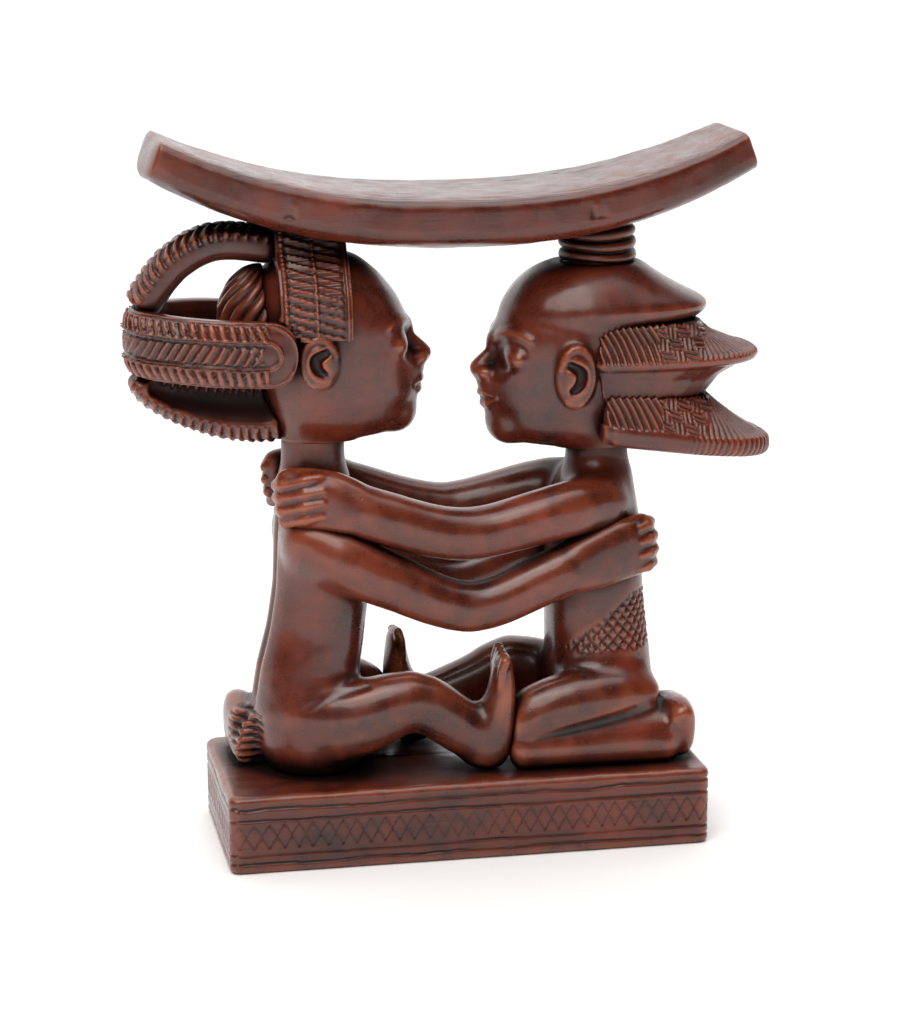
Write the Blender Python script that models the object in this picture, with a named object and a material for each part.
"""Carved double-figure headrest: two seated figures, facing and embracing each other on a
rectangular plinth, hold up a curved neck rest. Sizes in millimetres, built in metres, +Z up.

The origin is the centre of the plinth's underside. The left figure sits at -X and faces +X,
the right figure sits at +X and faces -X. "near" limbs lie at -Y and "far" limbs at +Y.
"""
import math

import bmesh
import bpy
from mathutils import Matrix, Vector

MM = 0.001
GAP = 0.3                      # clearance between neighbouring pieces

# Plinth
PLINTH_LENGTH = 120.5
PLINTH_WIDTH = 52.0
PLINTH_HEIGHT = 19.6
PLINTH_EDGE = 1.6

# Neck rest, an arched bar that is widest at mid-length
REST_LENGTH = 148.0
REST_CENTRE = -0.9
REST_CLEARANCE = 131.2         # plinth top to the rest's lowest line
REST_THICKNESS = 11.0
REST_MID_WIDTH = 47.0
REST_END_WIDTH = 32.0
REST_RISE = 14.4               # height of the ends over the middle
REST_CURL = 2.35               # power of the curve; 2 is an even arc, more lifts the ends
REST_END_SPLAY = 0.75          # share of the curve's slope that the end faces follow
REST_TILT = 0.5                # degrees that the left end is carved higher
REST_TOP_POWER = 7.0           # squareness of the top edges
REST_UNDER_POWER = 3.0         # squareness of the lower edges

# Where the figures sit
LEFT_NECK_X = -34.6
RIGHT_NECK_X = 36.7
NECK_SPAN = RIGHT_NECK_X - LEFT_NECK_X
LIMB_OFFSET = 14.4             # centre plane to an arm's centre line

# Left figure's coiffure
HEADBAND_WIDTH = 16.8
HEADBAND_BACK = -9.4           # its rear edge, from the neck axis
HEADBAND_HALF_SPAN = 18.0
BRAID_HEIGHT = 16.0
BRAID_THICKNESS = 6.8
BRAID_LEVEL = 108.7            # height of its centre line at the back
BRAID_POWER = 3.2              # squareness of every braid's section
LOOP_WIDTH = 12.4
LOOP_THICKNESS = 8.6

# Right figure's ringed support
RING_RADIUS = 9.6
RING_GROOVE = 1.0
RING_COUNT = 3

SEAT = PLINTH_HEIGHT + GAP     # level on which everything over the plinth starts
REST_FLOOR = PLINTH_HEIGHT + REST_CLEARANCE

# Sections of an upright body: height over the seat, back, front, half width. Back and front
# are measured from the neck axis, positive towards the other figure.
LEFT_TORSO = [
    (0.0, -12.6, 10.4, 13.0), (6.0, -15.0, 11.2, 15.4), (15.0, -16.4, 10.9, 15.8),
    (25.0, -14.9, 10.3, 13.8), (35.0, -12.3, 11.8, 12.6), (45.0, -10.6, 12.9, 12.4),
    (56.0, -9.9, 12.6, 13.2), (64.0, -9.4, 11.2, 12.8), (70.0, -8.8, 9.2, 10.2),
    (74.2, -8.2, 7.9, 8.0),
]
RIGHT_TORSO = [
    (0.0, -12.4, 11.0, 13.0), (6.0, -14.2, 12.2, 15.2), (15.0, -14.2, 12.8, 15.4),
    (25.0, -13.4, 12.5, 13.6), (37.0, -12.0, 12.6, 12.4), (48.0, -11.2, 12.6, 12.4),
    (58.0, -10.6, 12.4, 13.2), (65.0, -9.6, 11.0, 12.3), (69.0, -8.8, 9.3, 9.8),
    (72.0, -8.2, 8.3, 8.2),
]
LEFT_HEAD = [
    (74.5, -7.8, 7.6, 7.6), (79.5, -7.8, 7.7, 7.4), (83.4, -8.2, 11.0, 8.2),
    (84.8, -8.8, 20.5, 9.2), (88.0, -10.2, 23.2, 11.6), (94.0, -12.4, 24.4, 14.4),
    (103.0, -14.4, 24.4, 15.9), (111.0, -15.2, 23.4, 16.2), (118.0, -15.0, 20.6, 15.6),
    (123.5, -13.2, 16.4, 13.6), (127.6, -9.0, 11.4, 9.6), (129.4, -3.0, 5.4, 4.0),
]
RIGHT_HEAD = [
    (72.3, -8.0, 8.0, 7.9), (76.4, -8.2, 8.3, 7.9), (79.2, -8.8, 12.0, 8.6),
    (80.6, -9.6, 23.0, 9.8), (84.0, -11.4, 25.8, 12.2), (90.0, -13.6, 26.8, 14.6),
    (98.0, -15.0, 27.0, 15.9), (105.0, -15.4, 26.6, 16.2), (110.0, -15.6, 25.2, 16.2),
]
RIGHT_CAP = [
    (110.3, -25.0, 25.1, 16.3), (112.4, -27.4, 24.6, 17.2), (113.8, -28.9, 24.1, 17.4),
    (116.2, -24.0, 22.8, 16.2), (119.2, -18.4, 20.6, 14.6), (122.2, -13.6, 16.8, 12.4),
    (124.4, -10.8, 11.6, 10.8),
]
MIDDLE_TIER = [
    (90.8, -26.4, 18.0, 15.4), (96.4, -31.0, 19.0, 16.8), (99.8, -37.2, 20.0, 18.6),
    (101.4, -40.4, 20.0, 19.6), (103.4, -35.8, 20.0, 18.9), (106.0, -29.4, 19.0, 17.8),
    (110.0, -24.4, 18.0, 16.8),
]
LOWER_TIER = [
    (81.2, -39.6, 16.0, 18.4), (83.4, -43.6, 17.0, 20.0), (85.8, -42.4, 17.0, 19.8),
    (89.2, -35.6, 17.0, 18.4), (92.4, -30.6, 16.0, 17.2), (94.8, -27.4, 16.0, 16.2),
]
MIDDLE_TIER_FRONT = 4.4        # plane in which each tier ends behind the ear
LOWER_TIER_FRONT = 2.0
LOWER_TIER_LEAN = 0.14         # the lowest tier drops towards the back
TIER_POWER = 2.5               # squareness of the tiers in plan

# Forward relief along the middle of a face: fraction of the face's height, relief
FACE_RELIEF = [(0.0, 0.0), (0.08, 1.6), (0.2, 1.0), (0.3, 3.4), (0.4, 2.2), (0.46, 5.2),
               (0.6, 2.6), (0.72, 0.6), (1.0, 0.0)]
FACE_RELIEF_HALF_WIDTH = 4.2

TORSO_SIDES = 18
HEAD_SIDES = 24
LIMB_SIDES = 12
BRAID_SIDES = 10
REST_SIDES = 20
REST_STEPS = 16
RING_SIDES = 24

WOOD_RED = (0.135, 0.032, 0.017)
WOOD_DARK = (0.070, 0.022, 0.015)
WOOD_HAIR = (0.095, 0.026, 0.016)


class Figure:
    """Maps a point seen from one figure, (forward, sideways, height over the seat), to world."""

    def __init__(self, neck_x, facing):
        self.neck_x = neck_x
        self.facing = facing

    def at(self, forward, side, height):
        return Vector((self.neck_x + self.facing * forward, side, SEAT + height))

    def reach(self, share):
        """Forward distance that is a share of the way to the other figure's neck axis."""
        return share * NECK_SPAN


SIDES = ((-1, "near"), (1, "far"))
LEFT = Figure(LEFT_NECK_X, 1)
RIGHT = Figure(RIGHT_NECK_X, -1)


def clear_scene():
    for item in list(bpy.data.objects):
        bpy.data.objects.remove(item, do_unlink=True)


def wood(name, colour, roughness):
    material = bpy.data.materials.new(name)
    material.use_nodes = True
    shader = material.node_tree.nodes["Principled BSDF"]
    shader.inputs["Base Color"].default_value = (*colour, 1.0)
    shader.inputs["Roughness"].default_value = roughness
    shader.inputs["Metallic"].default_value = 0.0
    return material


def through(rows, steps):
    """Rows of a Catmull-Rom curve through the given rows, with several steps per span."""
    out = []
    for i in range(len(rows) - 1):
        before = rows[max(i - 1, 0)]
        a, b = rows[i], rows[i + 1]
        after = rows[min(i + 2, len(rows) - 1)]
        for k in range(steps):
            t = k / steps
            out.append(tuple(
                0.5 * (2 * q + (r - p) * t + (2 * p - 5 * q + 4 * r - s) * t ** 2
                       + (3 * q - p - 3 * r + s) * t ** 3)
                for p, q, r, s in zip(before, a, b, after)))
    out.append(tuple(rows[-1]))
    return out


def superellipse(angle, power):
    """Unit point (u, v) of a superellipse; power 2 is a circle and more is squarer."""
    c, s = math.cos(angle), math.sin(angle)
    return (math.copysign(abs(c) ** (2 / power), c), math.copysign(abs(s) ** (2 / power), s))


def skin(rings):
    """Closed mesh over rings that all have the same number of points, with flat end faces."""
    mesh = bmesh.new()
    loops = [[mesh.verts.new(point * MM) for point in ring] for ring in rings]
    for lower, upper in zip(loops, loops[1:]):
        for i in range(len(lower)):
            j = (i + 1) % len(lower)
            mesh.faces.new((lower[i], lower[j], upper[j], upper[i]))
    mesh.faces.new(loops[0])
    mesh.faces.new(loops[-1])
    bmesh.ops.recalc_face_normals(mesh, faces=mesh.faces)
    return mesh


def upright(figure, sections, sides, power=2.2, lean=0.0, relief=None, front_cut=math.inf):
    """Shape function of a body stacked from level sections; a front cut is an upright plane."""
    def shape(grow):
        rings = []
        for index, (height, back, front, half_width) in enumerate(sections):
            if index == 0:
                height -= grow
            if index == len(sections) - 1:
                height += grow
            middle = (back + front) / 2
            half_depth = (front - back) / 2 + grow
            ring = []
            for i in range(sides):
                u, v = superellipse(2 * math.pi * i / sides, power)
                forward, side = middle + half_depth * u, (half_width + grow) * v
                if relief and forward > middle:
                    forward += relief(height) * math.exp(-(side / FACE_RELIEF_HALF_WIDTH) ** 2)
                forward = min(forward, front_cut + grow)
                ring.append(figure.at(forward, side, height + lean * forward))
            rings.append(ring)
        return skin(rings)
    return shape


def face_relief(sections, chin_row, top_height):
    """Relief of a calm, plain face between the chin's section and the forehead."""
    chin = sections[chin_row][0]

    def relief(height):
        t = (height - chin) / (top_height - chin)
        if not 0 < t < 1:
            return 0.0
        for (t0, r0), (t1, r1) in zip(FACE_RELIEF, FACE_RELIEF[1:]):
            if t <= t1:
                return r0 + (r1 - r0) * (t - t0) / (t1 - t0)
        return 0.0
    return relief


def along(points, across, sides, power=2.2, steps=2, ends=(0.0, 0.0)):
    """Shape function of a body swept along points (x, y, z, half across, half thick).

    The first half size is measured along the given direction and the second square to it.
    An end above zero is a rounded nose of that length, and zero is a flat end face.
    """
    across = Vector(across)

    def shape(grow):
        rows = through([tuple(p) for p in points], steps)
        centres = [Vector(row[:3]) for row in rows]
        halves = [(row[3] + grow, row[4] + grow) for row in rows]
        tangents = []
        for i in range(len(centres)):
            a, b = centres[max(i - 1, 0)], centres[min(i + 1, len(centres) - 1)]
            tangents.append((b - a).normalized())
        if grow:
            centres[0] = centres[0] - tangents[0] * grow
            centres[-1] = centres[-1] + tangents[-1] * grow
        stations = list(zip(centres, tangents, halves))
        for at_end, nose in ((False, ends[0]), (True, ends[1])):
            if nose > 0:
                stations = add_nose(stations, nose, at_end)
        return skin([section(*station, across, sides, power) for station in stations])
    return shape


def add_nose(stations, length, at_end):
    """Adds shrinking sections past one end of a sweep, which round it off."""
    centre, tangent, (half_a, half_b) = stations[-1] if at_end else stations[0]
    outwards = tangent if at_end else -tangent
    nose = []
    for angle in (35, 62, 82):
        reach, share = math.sin(math.radians(angle)), math.cos(math.radians(angle))
        nose.append((centre + outwards * length * reach, tangent, (half_a * share, half_b * share)))
    return stations + nose if at_end else nose[::-1] + stations


def section(centre, tangent, halves, across, sides, power):
    side = (across - tangent * across.dot(tangent)).normalized()
    up = tangent.cross(side)
    ring = []
    for i in range(sides):
        u, v = superellipse(2 * math.pi * (i + 0.5) / sides, power)
        ring.append(centre + side * halves[0] * u + up * halves[1] * v)
    return ring


def ball(centre, halves, rows, sides, power=2.0):
    """Shape function of an upright egg or disc."""
    def shape(grow):
        rings = []
        for k in range(rows):
            lift = math.radians(-84 + 168 * k / (rows - 1))
            reach, height = math.cos(lift), math.sin(lift)
            ring = []
            for i in range(sides):
                u, v = superellipse(2 * math.pi * i / sides, power)
                ring.append(centre + Vector(((halves[0] + grow) * u * reach,
                                             (halves[1] + grow) * v * reach,
                                             (halves[2] + grow) * height)))
            rings.append(ring)
        return skin(rings)
    return shape


SHAPES = {}
CUTTERS = {}


def add_object(name, mesh):
    data = bpy.data.meshes.new(name)
    mesh.to_mesh(data)
    mesh.free()
    data.shade_smooth()
    data.set_sharp_from_angle(angle=math.radians(40))
    item = bpy.data.objects.new(name, data)
    bpy.context.scene.collection.objects.link(item)
    return item


def piece(name, shape, colour=WOOD_RED, roughness=0.28):
    """One visible piece, whose shape function is kept for the pieces that fit round it."""
    SHAPES[name] = shape
    item = add_object(name, shape(0.0))
    item.data.materials.append(wood(name + "_wood", colour, roughness))
    return item


def cutter(name):
    """Hidden copy of a piece, larger all round by the gap."""
    if name not in CUTTERS:
        item = add_object("room_for_" + name, SHAPES[name](GAP))
        item.hide_render = True
        item.display_type = 'WIRE'
        CUTTERS[name] = item
    return CUTTERS[name]


def fit_round(item, *names):
    """Takes the room of the named pieces, with the gap, out of a piece."""
    for name in names:
        cut = item.modifiers.new("room_for_" + name, 'BOOLEAN')
        cut.operation = 'DIFFERENCE'
        cut.solver = 'EXACT'
        cut.object = cutter(name)


def plinth_shape(grow):
    """Slab with softened edges, standing on the origin's level."""
    mesh = bmesh.new()
    bmesh.ops.create_cube(mesh, size=1.0)
    for vert in mesh.verts:
        vert.co.x *= (PLINTH_LENGTH + 2 * grow) * MM
        vert.co.y *= (PLINTH_WIDTH + 2 * grow) * MM
        vert.co.z = (PLINTH_HEIGHT / 2 + vert.co.z * (PLINTH_HEIGHT + 2 * grow)) * MM
    bmesh.ops.bevel(mesh, geom=mesh.edges, offset=PLINTH_EDGE * MM, segments=2, profile=0.6,
                    affect='EDGES')
    return mesh


def rest_shape(grow):
    """Bar that curls up towards both ends, with a flat top and a rounded underside."""
    half_length = REST_LENGTH / 2
    half_thick = REST_THICKNESS / 2
    lowest = Vector((REST_CENTRE, 0, REST_FLOOR))
    tilt = Matrix.Rotation(math.radians(REST_TILT), 3, 'Y')
    rings = []
    for k in range(REST_STEPS + 1):
        share = 2 * k / REST_STEPS - 1
        curl = abs(share) ** REST_CURL
        slope = math.copysign(REST_RISE * REST_CURL * abs(share) ** (REST_CURL - 1), share)
        down = Vector((REST_END_SPLAY * slope / half_length, 0, -1)).normalized()
        half_width = (REST_MID_WIDTH - (REST_MID_WIDTH - REST_END_WIDTH) * share ** 2) / 2
        middle = Vector((half_length * share, 0, REST_RISE * curl)) - down * half_thick
        if k in (0, REST_STEPS):
            middle.x += math.copysign(grow, share)
        ring = []
        for i in range(REST_SIDES):
            turn = 2 * math.pi * (i + 0.5) / REST_SIDES
            u, v = superellipse(turn, REST_TOP_POWER if math.sin(turn) < 0 else REST_UNDER_POWER)
            point = middle + Vector((0, (half_width + grow) * u, 0))
            point += down * (half_thick + grow) * v
            ring.append(lowest + tilt @ point)
        rings.append(ring)
    return skin(rings)


def headband_shape(grow):
    """Arch over the left head from temple to temple, tall enough to reach the neck rest."""
    low, shoulder = 109.4, 121.0
    top = REST_CLEARANCE + REST_THICKNESS / 2
    outline = [(-HEADBAND_HALF_SPAN, low), (-HEADBAND_HALF_SPAN, shoulder - 6.0),
               (-HEADBAND_HALF_SPAN + 1.6, shoulder), (-HEADBAND_HALF_SPAN + 5.0, shoulder + 5.6),
               (-HEADBAND_HALF_SPAN + 9.0, shoulder + 9.2), (-7.4, top)]
    outline += [(-side, height) for side, height in reversed(outline)]
    rings = []
    for forward in (HEADBAND_BACK - grow, HEADBAND_BACK + HEADBAND_WIDTH + grow):
        ring = []
        for side, height in outline:
            out_side = side + math.copysign(grow, side)
            out_height = height + (-grow if height == low else grow)
            ring.append(LEFT.at(forward, out_side, out_height))
        rings.append(ring)
    return skin(rings)


def side_braid_shape():
    """Wide braid that runs from behind one ear, round the back, to the other ear."""
    half_height, half_thick = BRAID_HEIGHT / 2, BRAID_THICKNESS / 2
    half = [(-7.8, 16.6, BRAID_LEVEL - 2.1), (-18.0, 17.6, BRAID_LEVEL - 1.5),
            (-27.0, 16.6, BRAID_LEVEL - 0.9), (-35.5, 12.2, BRAID_LEVEL - 0.4),
            (-41.0, 6.2, BRAID_LEVEL - 0.1)]
    route = half + [(-42.4, 0.0, BRAID_LEVEL)] + [(f, -s, h) for f, s, h in reversed(half)]
    points = [(*LEFT.at(*stop), half_height, half_thick) for stop in route]
    return along(points, (0, 0, 1), BRAID_SIDES, power=BRAID_POWER, ends=(2.4, 2.4))


def loop_braid_shape(stops):
    """Upright loop of hair over the back of the head, on the centre plane."""
    points = [(*LEFT.at(forward, 0.0, height), LOOP_WIDTH / 2, LOOP_THICKNESS / 2)
              for forward, height in stops]
    return along(points, (0, 1, 0), BRAID_SIDES, power=BRAID_POWER)


def crest_shape(stations):
    """Upright crest of hair on the centre plane, through stations (forward, bottom, top)."""
    points = [(*LEFT.at(forward, 0.0, (bottom + top) / 2), LOOP_WIDTH / 2, (top - bottom) / 2)
              for forward, bottom, top in stations]
    return along(points, (0, 1, 0), BRAID_SIDES, power=BRAID_POWER)


def rings_shape(grow):
    """Turned stack of rings between the cap and the neck rest."""
    bottom = RIGHT_CAP[-1][0] + GAP
    top = REST_CLEARANCE + REST_THICKNESS / 2
    pitch = 4.6
    levels = []
    height = bottom
    for _ in range(RING_COUNT):
        levels += [(height, RING_RADIUS - RING_GROOVE), (height + 0.9, RING_RADIUS),
                   (height + pitch - 0.9, RING_RADIUS)]
        height += pitch
    levels += [(height, RING_RADIUS - RING_GROOVE), (top, RING_RADIUS - RING_GROOVE)]
    rings = []
    for level, radius in levels:
        rings.append([RIGHT.at((radius + grow) * math.cos(2 * math.pi * i / RING_SIDES),
                               (radius + grow) * math.sin(2 * math.pi * i / RING_SIDES), level)
                      for i in range(RING_SIDES)])
    return skin(rings)


def limb(figure, side, stops, across=(0, 1, 0), **options):
    """Sweep through stops (forward, offset from the centre plane, height, two half sizes)."""
    points = [(*figure.at(forward, side * offset, height), a, b)
              for forward, offset, height, a, b in stops]
    return along(points, across, LIMB_SIDES, **options)


def make_arms(figure, name, arm_stops, wrist, hand_stops):
    """Two arms that reach the other figure, and the hands laid on it.

    The arm's stops start with a share of the way to the other figure's neck axis. The wrist
    and the hand's stops start with a distance past that axis.
    """
    arm = [(figure.reach(share), *place) for share, *place in arm_stops]
    arm.append((NECK_SPAN + wrist[0], *wrist[1:]))
    hand = [(NECK_SPAN + past, *place) for past, *place in hand_stops]
    for side, place in SIDES:
        piece(f"{name}_{place}_arm", limb(figure, side, arm, ends=(5.0, 0.0)))
        piece(f"{name}_{place}_hand", limb(figure, side, hand, power=2.8, ends=(0.0, 1.2)))


def make_stretched_leg(figure, name, side, place, knee, sole):
    """Leg laid forward with a raised knee, its foot upright against the other's knee.

    The knee and the sole are shares of the way to the other figure.
    """
    ankle = sole - 0.07
    leg = limb(figure, side, [
        (-3.0, 7.0, 12.4, 6.0, 8.4), (4.0, 11.4, 12.8, 7.2, 9.6), (12.0, 13.2, 15.4, 7.0, 8.8),
        (figure.reach(knee), 13.6, 18.2, 6.2, 7.4),
        (figure.reach(knee + 0.1), 13.4, 14.8, 5.6, 6.8),
        (figure.reach(ankle - 0.055), 13.2, 10.2, 5.2, 6.6),
        (figure.reach(ankle), 13.2, 8.2, 5.2, 6.6)])
    heel = figure.reach(sole)
    foot = limb(figure, side, [
        (heel - 4.0, 13.2, 0.3, 4.4, 4.2), (heel - 3.2, 13.2, 4.6, 5.2, 6.2),
        (heel - 0.6, 13.4, 11.6, 5.2, 5.0), (heel + 0.8, 13.6, 20.0, 5.4, 3.1),
        (heel + 1.0, 13.6, 28.0, 4.8, 1.9)], ends=(0.0, 1.6))
    piece(f"{name}_{place}_leg", leg)
    piece(f"{name}_{place}_foot", foot)


def make_folded_leg(figure, name, side, place, knee):
    """Leg folded flat under itself, its foot turned across the end of the plinth."""
    thigh = limb(figure, side, [
        (-9.0, 9.6, 14.8, 6.6, 6.6), (-2.0, 12.4, 16.0, 7.0, 7.2), (9.0, 13.4, 15.0, 6.8, 7.8),
        (figure.reach(knee) - 5.0, 13.4, 12.6, 6.4, 7.2),
        (figure.reach(knee), 13.2, 9.2, 5.6, 5.6)], ends=(4.4, 2.6))
    shin = limb(figure, side, [
        (-16.0, 13.6, 6.6, 5.6, 6.2), (-6.0, 14.0, 6.2, 6.0, 6.0), (6.0, 14.2, 5.4, 6.2, 5.2),
        (figure.reach(knee) - 7.0, 14.2, 5.4, 6.0, 5.2),
        (figure.reach(knee) + 0.7, 13.6, 5.2, 5.4, 5.0)], ends=(0.0, 2.0))
    foot = limb(figure, side, [
        (-18.4, 19.0, 7.0, 3.1, 6.8), (-18.4, 14.0, 7.8, 3.6, 7.6), (-18.4, 6.0, 7.2, 3.3, 7.0),
        (-18.4, -2.6, 7.0, 3.0, 6.8)], across=(1, 0, 0), power=3.0)
    piece(f"{name}_{place}_thigh", thigh)
    piece(f"{name}_{place}_shin", shin)
    piece(f"{name}_{place}_foot", foot)


def make_ears(figure, name, forward, height, half_height):
    for side, place in SIDES:
        shape = ball(figure.at(forward, side * 16.6, height), (4.6, 2.9, half_height), 7, 12)
        piece(f"{name}_{place}_ear", shape)


def make_left_figure():
    piece("left_torso", upright(LEFT, LEFT_TORSO, TORSO_SIDES))
    piece("left_head", upright(LEFT, LEFT_HEAD, HEAD_SIDES,
                               relief=face_relief(LEFT_HEAD, 3, 122.0)))
    piece("left_headband", headband_shape, WOOD_HAIR)
    piece("left_side_braid", side_braid_shape(), WOOD_HAIR)
    upper_foot = BRAID_LEVEL + BRAID_HEIGHT / 2 + GAP
    lower_head = BRAID_LEVEL - BRAID_HEIGHT / 2 - GAP
    piece("left_upper_braid", loop_braid_shape([
        (-41.0, upper_foot), (-39.2, upper_foot + 3.0), (-33.6, upper_foot + 10.0),
        (-24.6, REST_CLEARANCE + 0.6), (-15.4, REST_CLEARANCE + 0.4),
        (-7.6, REST_CLEARANCE - 1.0)]), WOOD_HAIR)
    piece("left_lower_braid", crest_shape([
        (-43.8, lower_head - 3.0, lower_head), (-40.6, 93.4, lower_head),
        (-35.0, 89.6, lower_head), (-28.0, 86.2, lower_head), (-20.0, 83.6, lower_head),
        (-12.0, 82.7, lower_head), (-6.0, 83.1, lower_head)]), WOOD_HAIR)
    piece("left_bun", ball(LEFT.at(-11.6, 0.0, 113.0), (11.6, 11.6, 13.6), 9, 16), WOOD_HAIR)
    make_ears(LEFT, "left", -0.6, 104.6, 6.6)
    make_arms(LEFT, "left", [
        (-0.035, 9.0, 60.4, 6.8, 8.0), (0.06, 13.0, 56.0, 6.4, 7.4), (0.15, 14.2, 51.8, 6.2, 7.0),
        (0.26, LIMB_OFFSET, 48.2, 6.0, 6.6), (0.38, LIMB_OFFSET, 44.0, 5.8, 6.2),
        (0.505, LIMB_OFFSET, 41.6, 5.6, 6.1), (0.62, LIMB_OFFSET, 43.2, 5.6, 6.0),
        (0.74, LIMB_OFFSET, 46.8, 5.6, 6.1)],
        (-10.0, LIMB_OFFSET, 50.2, 5.4, 6.4),
        [(-9.6, LIMB_OFFSET, 50.3, 5.0, 6.4), (-3.6, 13.8, 52.0, 4.4, 7.6),
         (4.3, 13.0, 54.4, 3.9, 8.0), (11.0, 10.6, 55.2, 3.2, 7.4)])


def make_right_figure():
    piece("right_torso", upright(RIGHT, RIGHT_TORSO, TORSO_SIDES))
    piece("right_head", upright(RIGHT, RIGHT_HEAD, HEAD_SIDES,
                                relief=face_relief(RIGHT_HEAD, 3, 117.0)))
    piece("right_cap", upright(RIGHT, RIGHT_CAP, HEAD_SIDES), WOOD_HAIR)
    piece("right_middle_tier", upright(RIGHT, MIDDLE_TIER, HEAD_SIDES, power=TIER_POWER,
                                       front_cut=MIDDLE_TIER_FRONT), WOOD_HAIR)
    piece("right_lower_tier", upright(RIGHT, LOWER_TIER, HEAD_SIDES, power=TIER_POWER,
                                      lean=LOWER_TIER_LEAN, front_cut=LOWER_TIER_FRONT),
          WOOD_HAIR)
    piece("right_rings", rings_shape, WOOD_DARK)
    make_ears(RIGHT, "right", 9.0, 98.6, 7.8)
    make_arms(RIGHT, "right", [
        (0.02, 8.6, 65.6, 6.6, 6.6), (0.12, 12.8, 65.0, 6.4, 6.8), (0.23, 14.0, 63.6, 6.2, 6.6),
        (0.38, LIMB_OFFSET, 61.2, 6.0, 6.3), (0.505, LIMB_OFFSET, 60.0, 5.8, 6.3),
        (0.64, LIMB_OFFSET, 61.6, 5.7, 6.3), (0.77, LIMB_OFFSET, 64.6, 5.6, 6.4)],
        (-8.6, 14.2, 67.2, 5.4, 6.4),
        [(-8.2, 14.2, 67.3, 5.0, 6.4), (-2.9, 13.6, 69.4, 4.4, 7.4),
         (4.3, 12.6, 70.6, 3.8, 7.6), (9.6, 10.4, 70.4, 3.0, 7.2)])


def side_fits(side):
    """Limbs on one side of the carving, each with the pieces that it makes room for."""
    stretched, folded = ("left", "right") if side == "near" else ("right", "left")
    return {
        f"right_{side}_arm": ["right_torso", "left_torso"],
        f"right_{side}_hand": [f"right_{side}_arm", "left_torso", "left_head"],
        f"left_{side}_arm": ["left_torso", "right_torso", f"right_{side}_arm",
                             f"right_{side}_hand"],
        f"left_{side}_hand": [f"left_{side}_arm", "right_torso", f"right_{side}_arm"],
        f"{stretched}_{side}_leg": [f"{stretched}_torso", "plinth"],
        f"{stretched}_{side}_foot": [f"{stretched}_{side}_leg", "plinth"],
        f"{folded}_{side}_thigh": [f"{folded}_torso", f"{stretched}_{side}_foot"],
        f"{folded}_{side}_foot": [f"{folded}_torso", "plinth"],
        f"{folded}_{side}_shin": [f"{folded}_torso", f"{folded}_{side}_thigh", "plinth",
                                  f"{folded}_{side}_foot", f"{stretched}_{side}_foot"],
        f"left_{side}_ear": ["left_head", "left_headband", "left_side_braid"],
        f"right_{side}_ear": ["right_head", "right_middle_tier", "right_lower_tier"],
    }


def fit_all():
    """Each piece makes room for the pieces it leans on; the others keep their whole shape."""
    fits = {
        "left_headband": ["left_head", "left_side_braid", "neck_rest"],
        "left_side_braid": ["left_head"],
        "left_upper_braid": ["left_side_braid", "left_head", "left_headband", "neck_rest"],
        "left_lower_braid": ["left_side_braid", "left_head"],
        "left_bun": ["left_head", "left_headband", "left_upper_braid", "left_lower_braid"],
        "right_middle_tier": ["right_head"],
        "right_lower_tier": ["right_head", "right_middle_tier"],
        "right_rings": ["neck_rest"],
        **side_fits("near"),
        **side_fits("far"),
    }
    for name, others in fits.items():
        fit_round(bpy.data.objects[name], *others)


def main():
    clear_scene()
    piece("plinth", plinth_shape, roughness=0.32)
    piece("neck_rest", rest_shape)
    make_left_figure()
    make_right_figure()
    make_stretched_leg(LEFT, "left", -1, "near", knee=0.30, sole=0.61)
    make_folded_leg(LEFT, "left", 1, "far", knee=0.27)
    make_folded_leg(RIGHT, "right", -1, "near", knee=0.325)
    make_stretched_leg(RIGHT, "right", 1, "far", knee=0.28, sole=0.675)
    fit_all()


main()
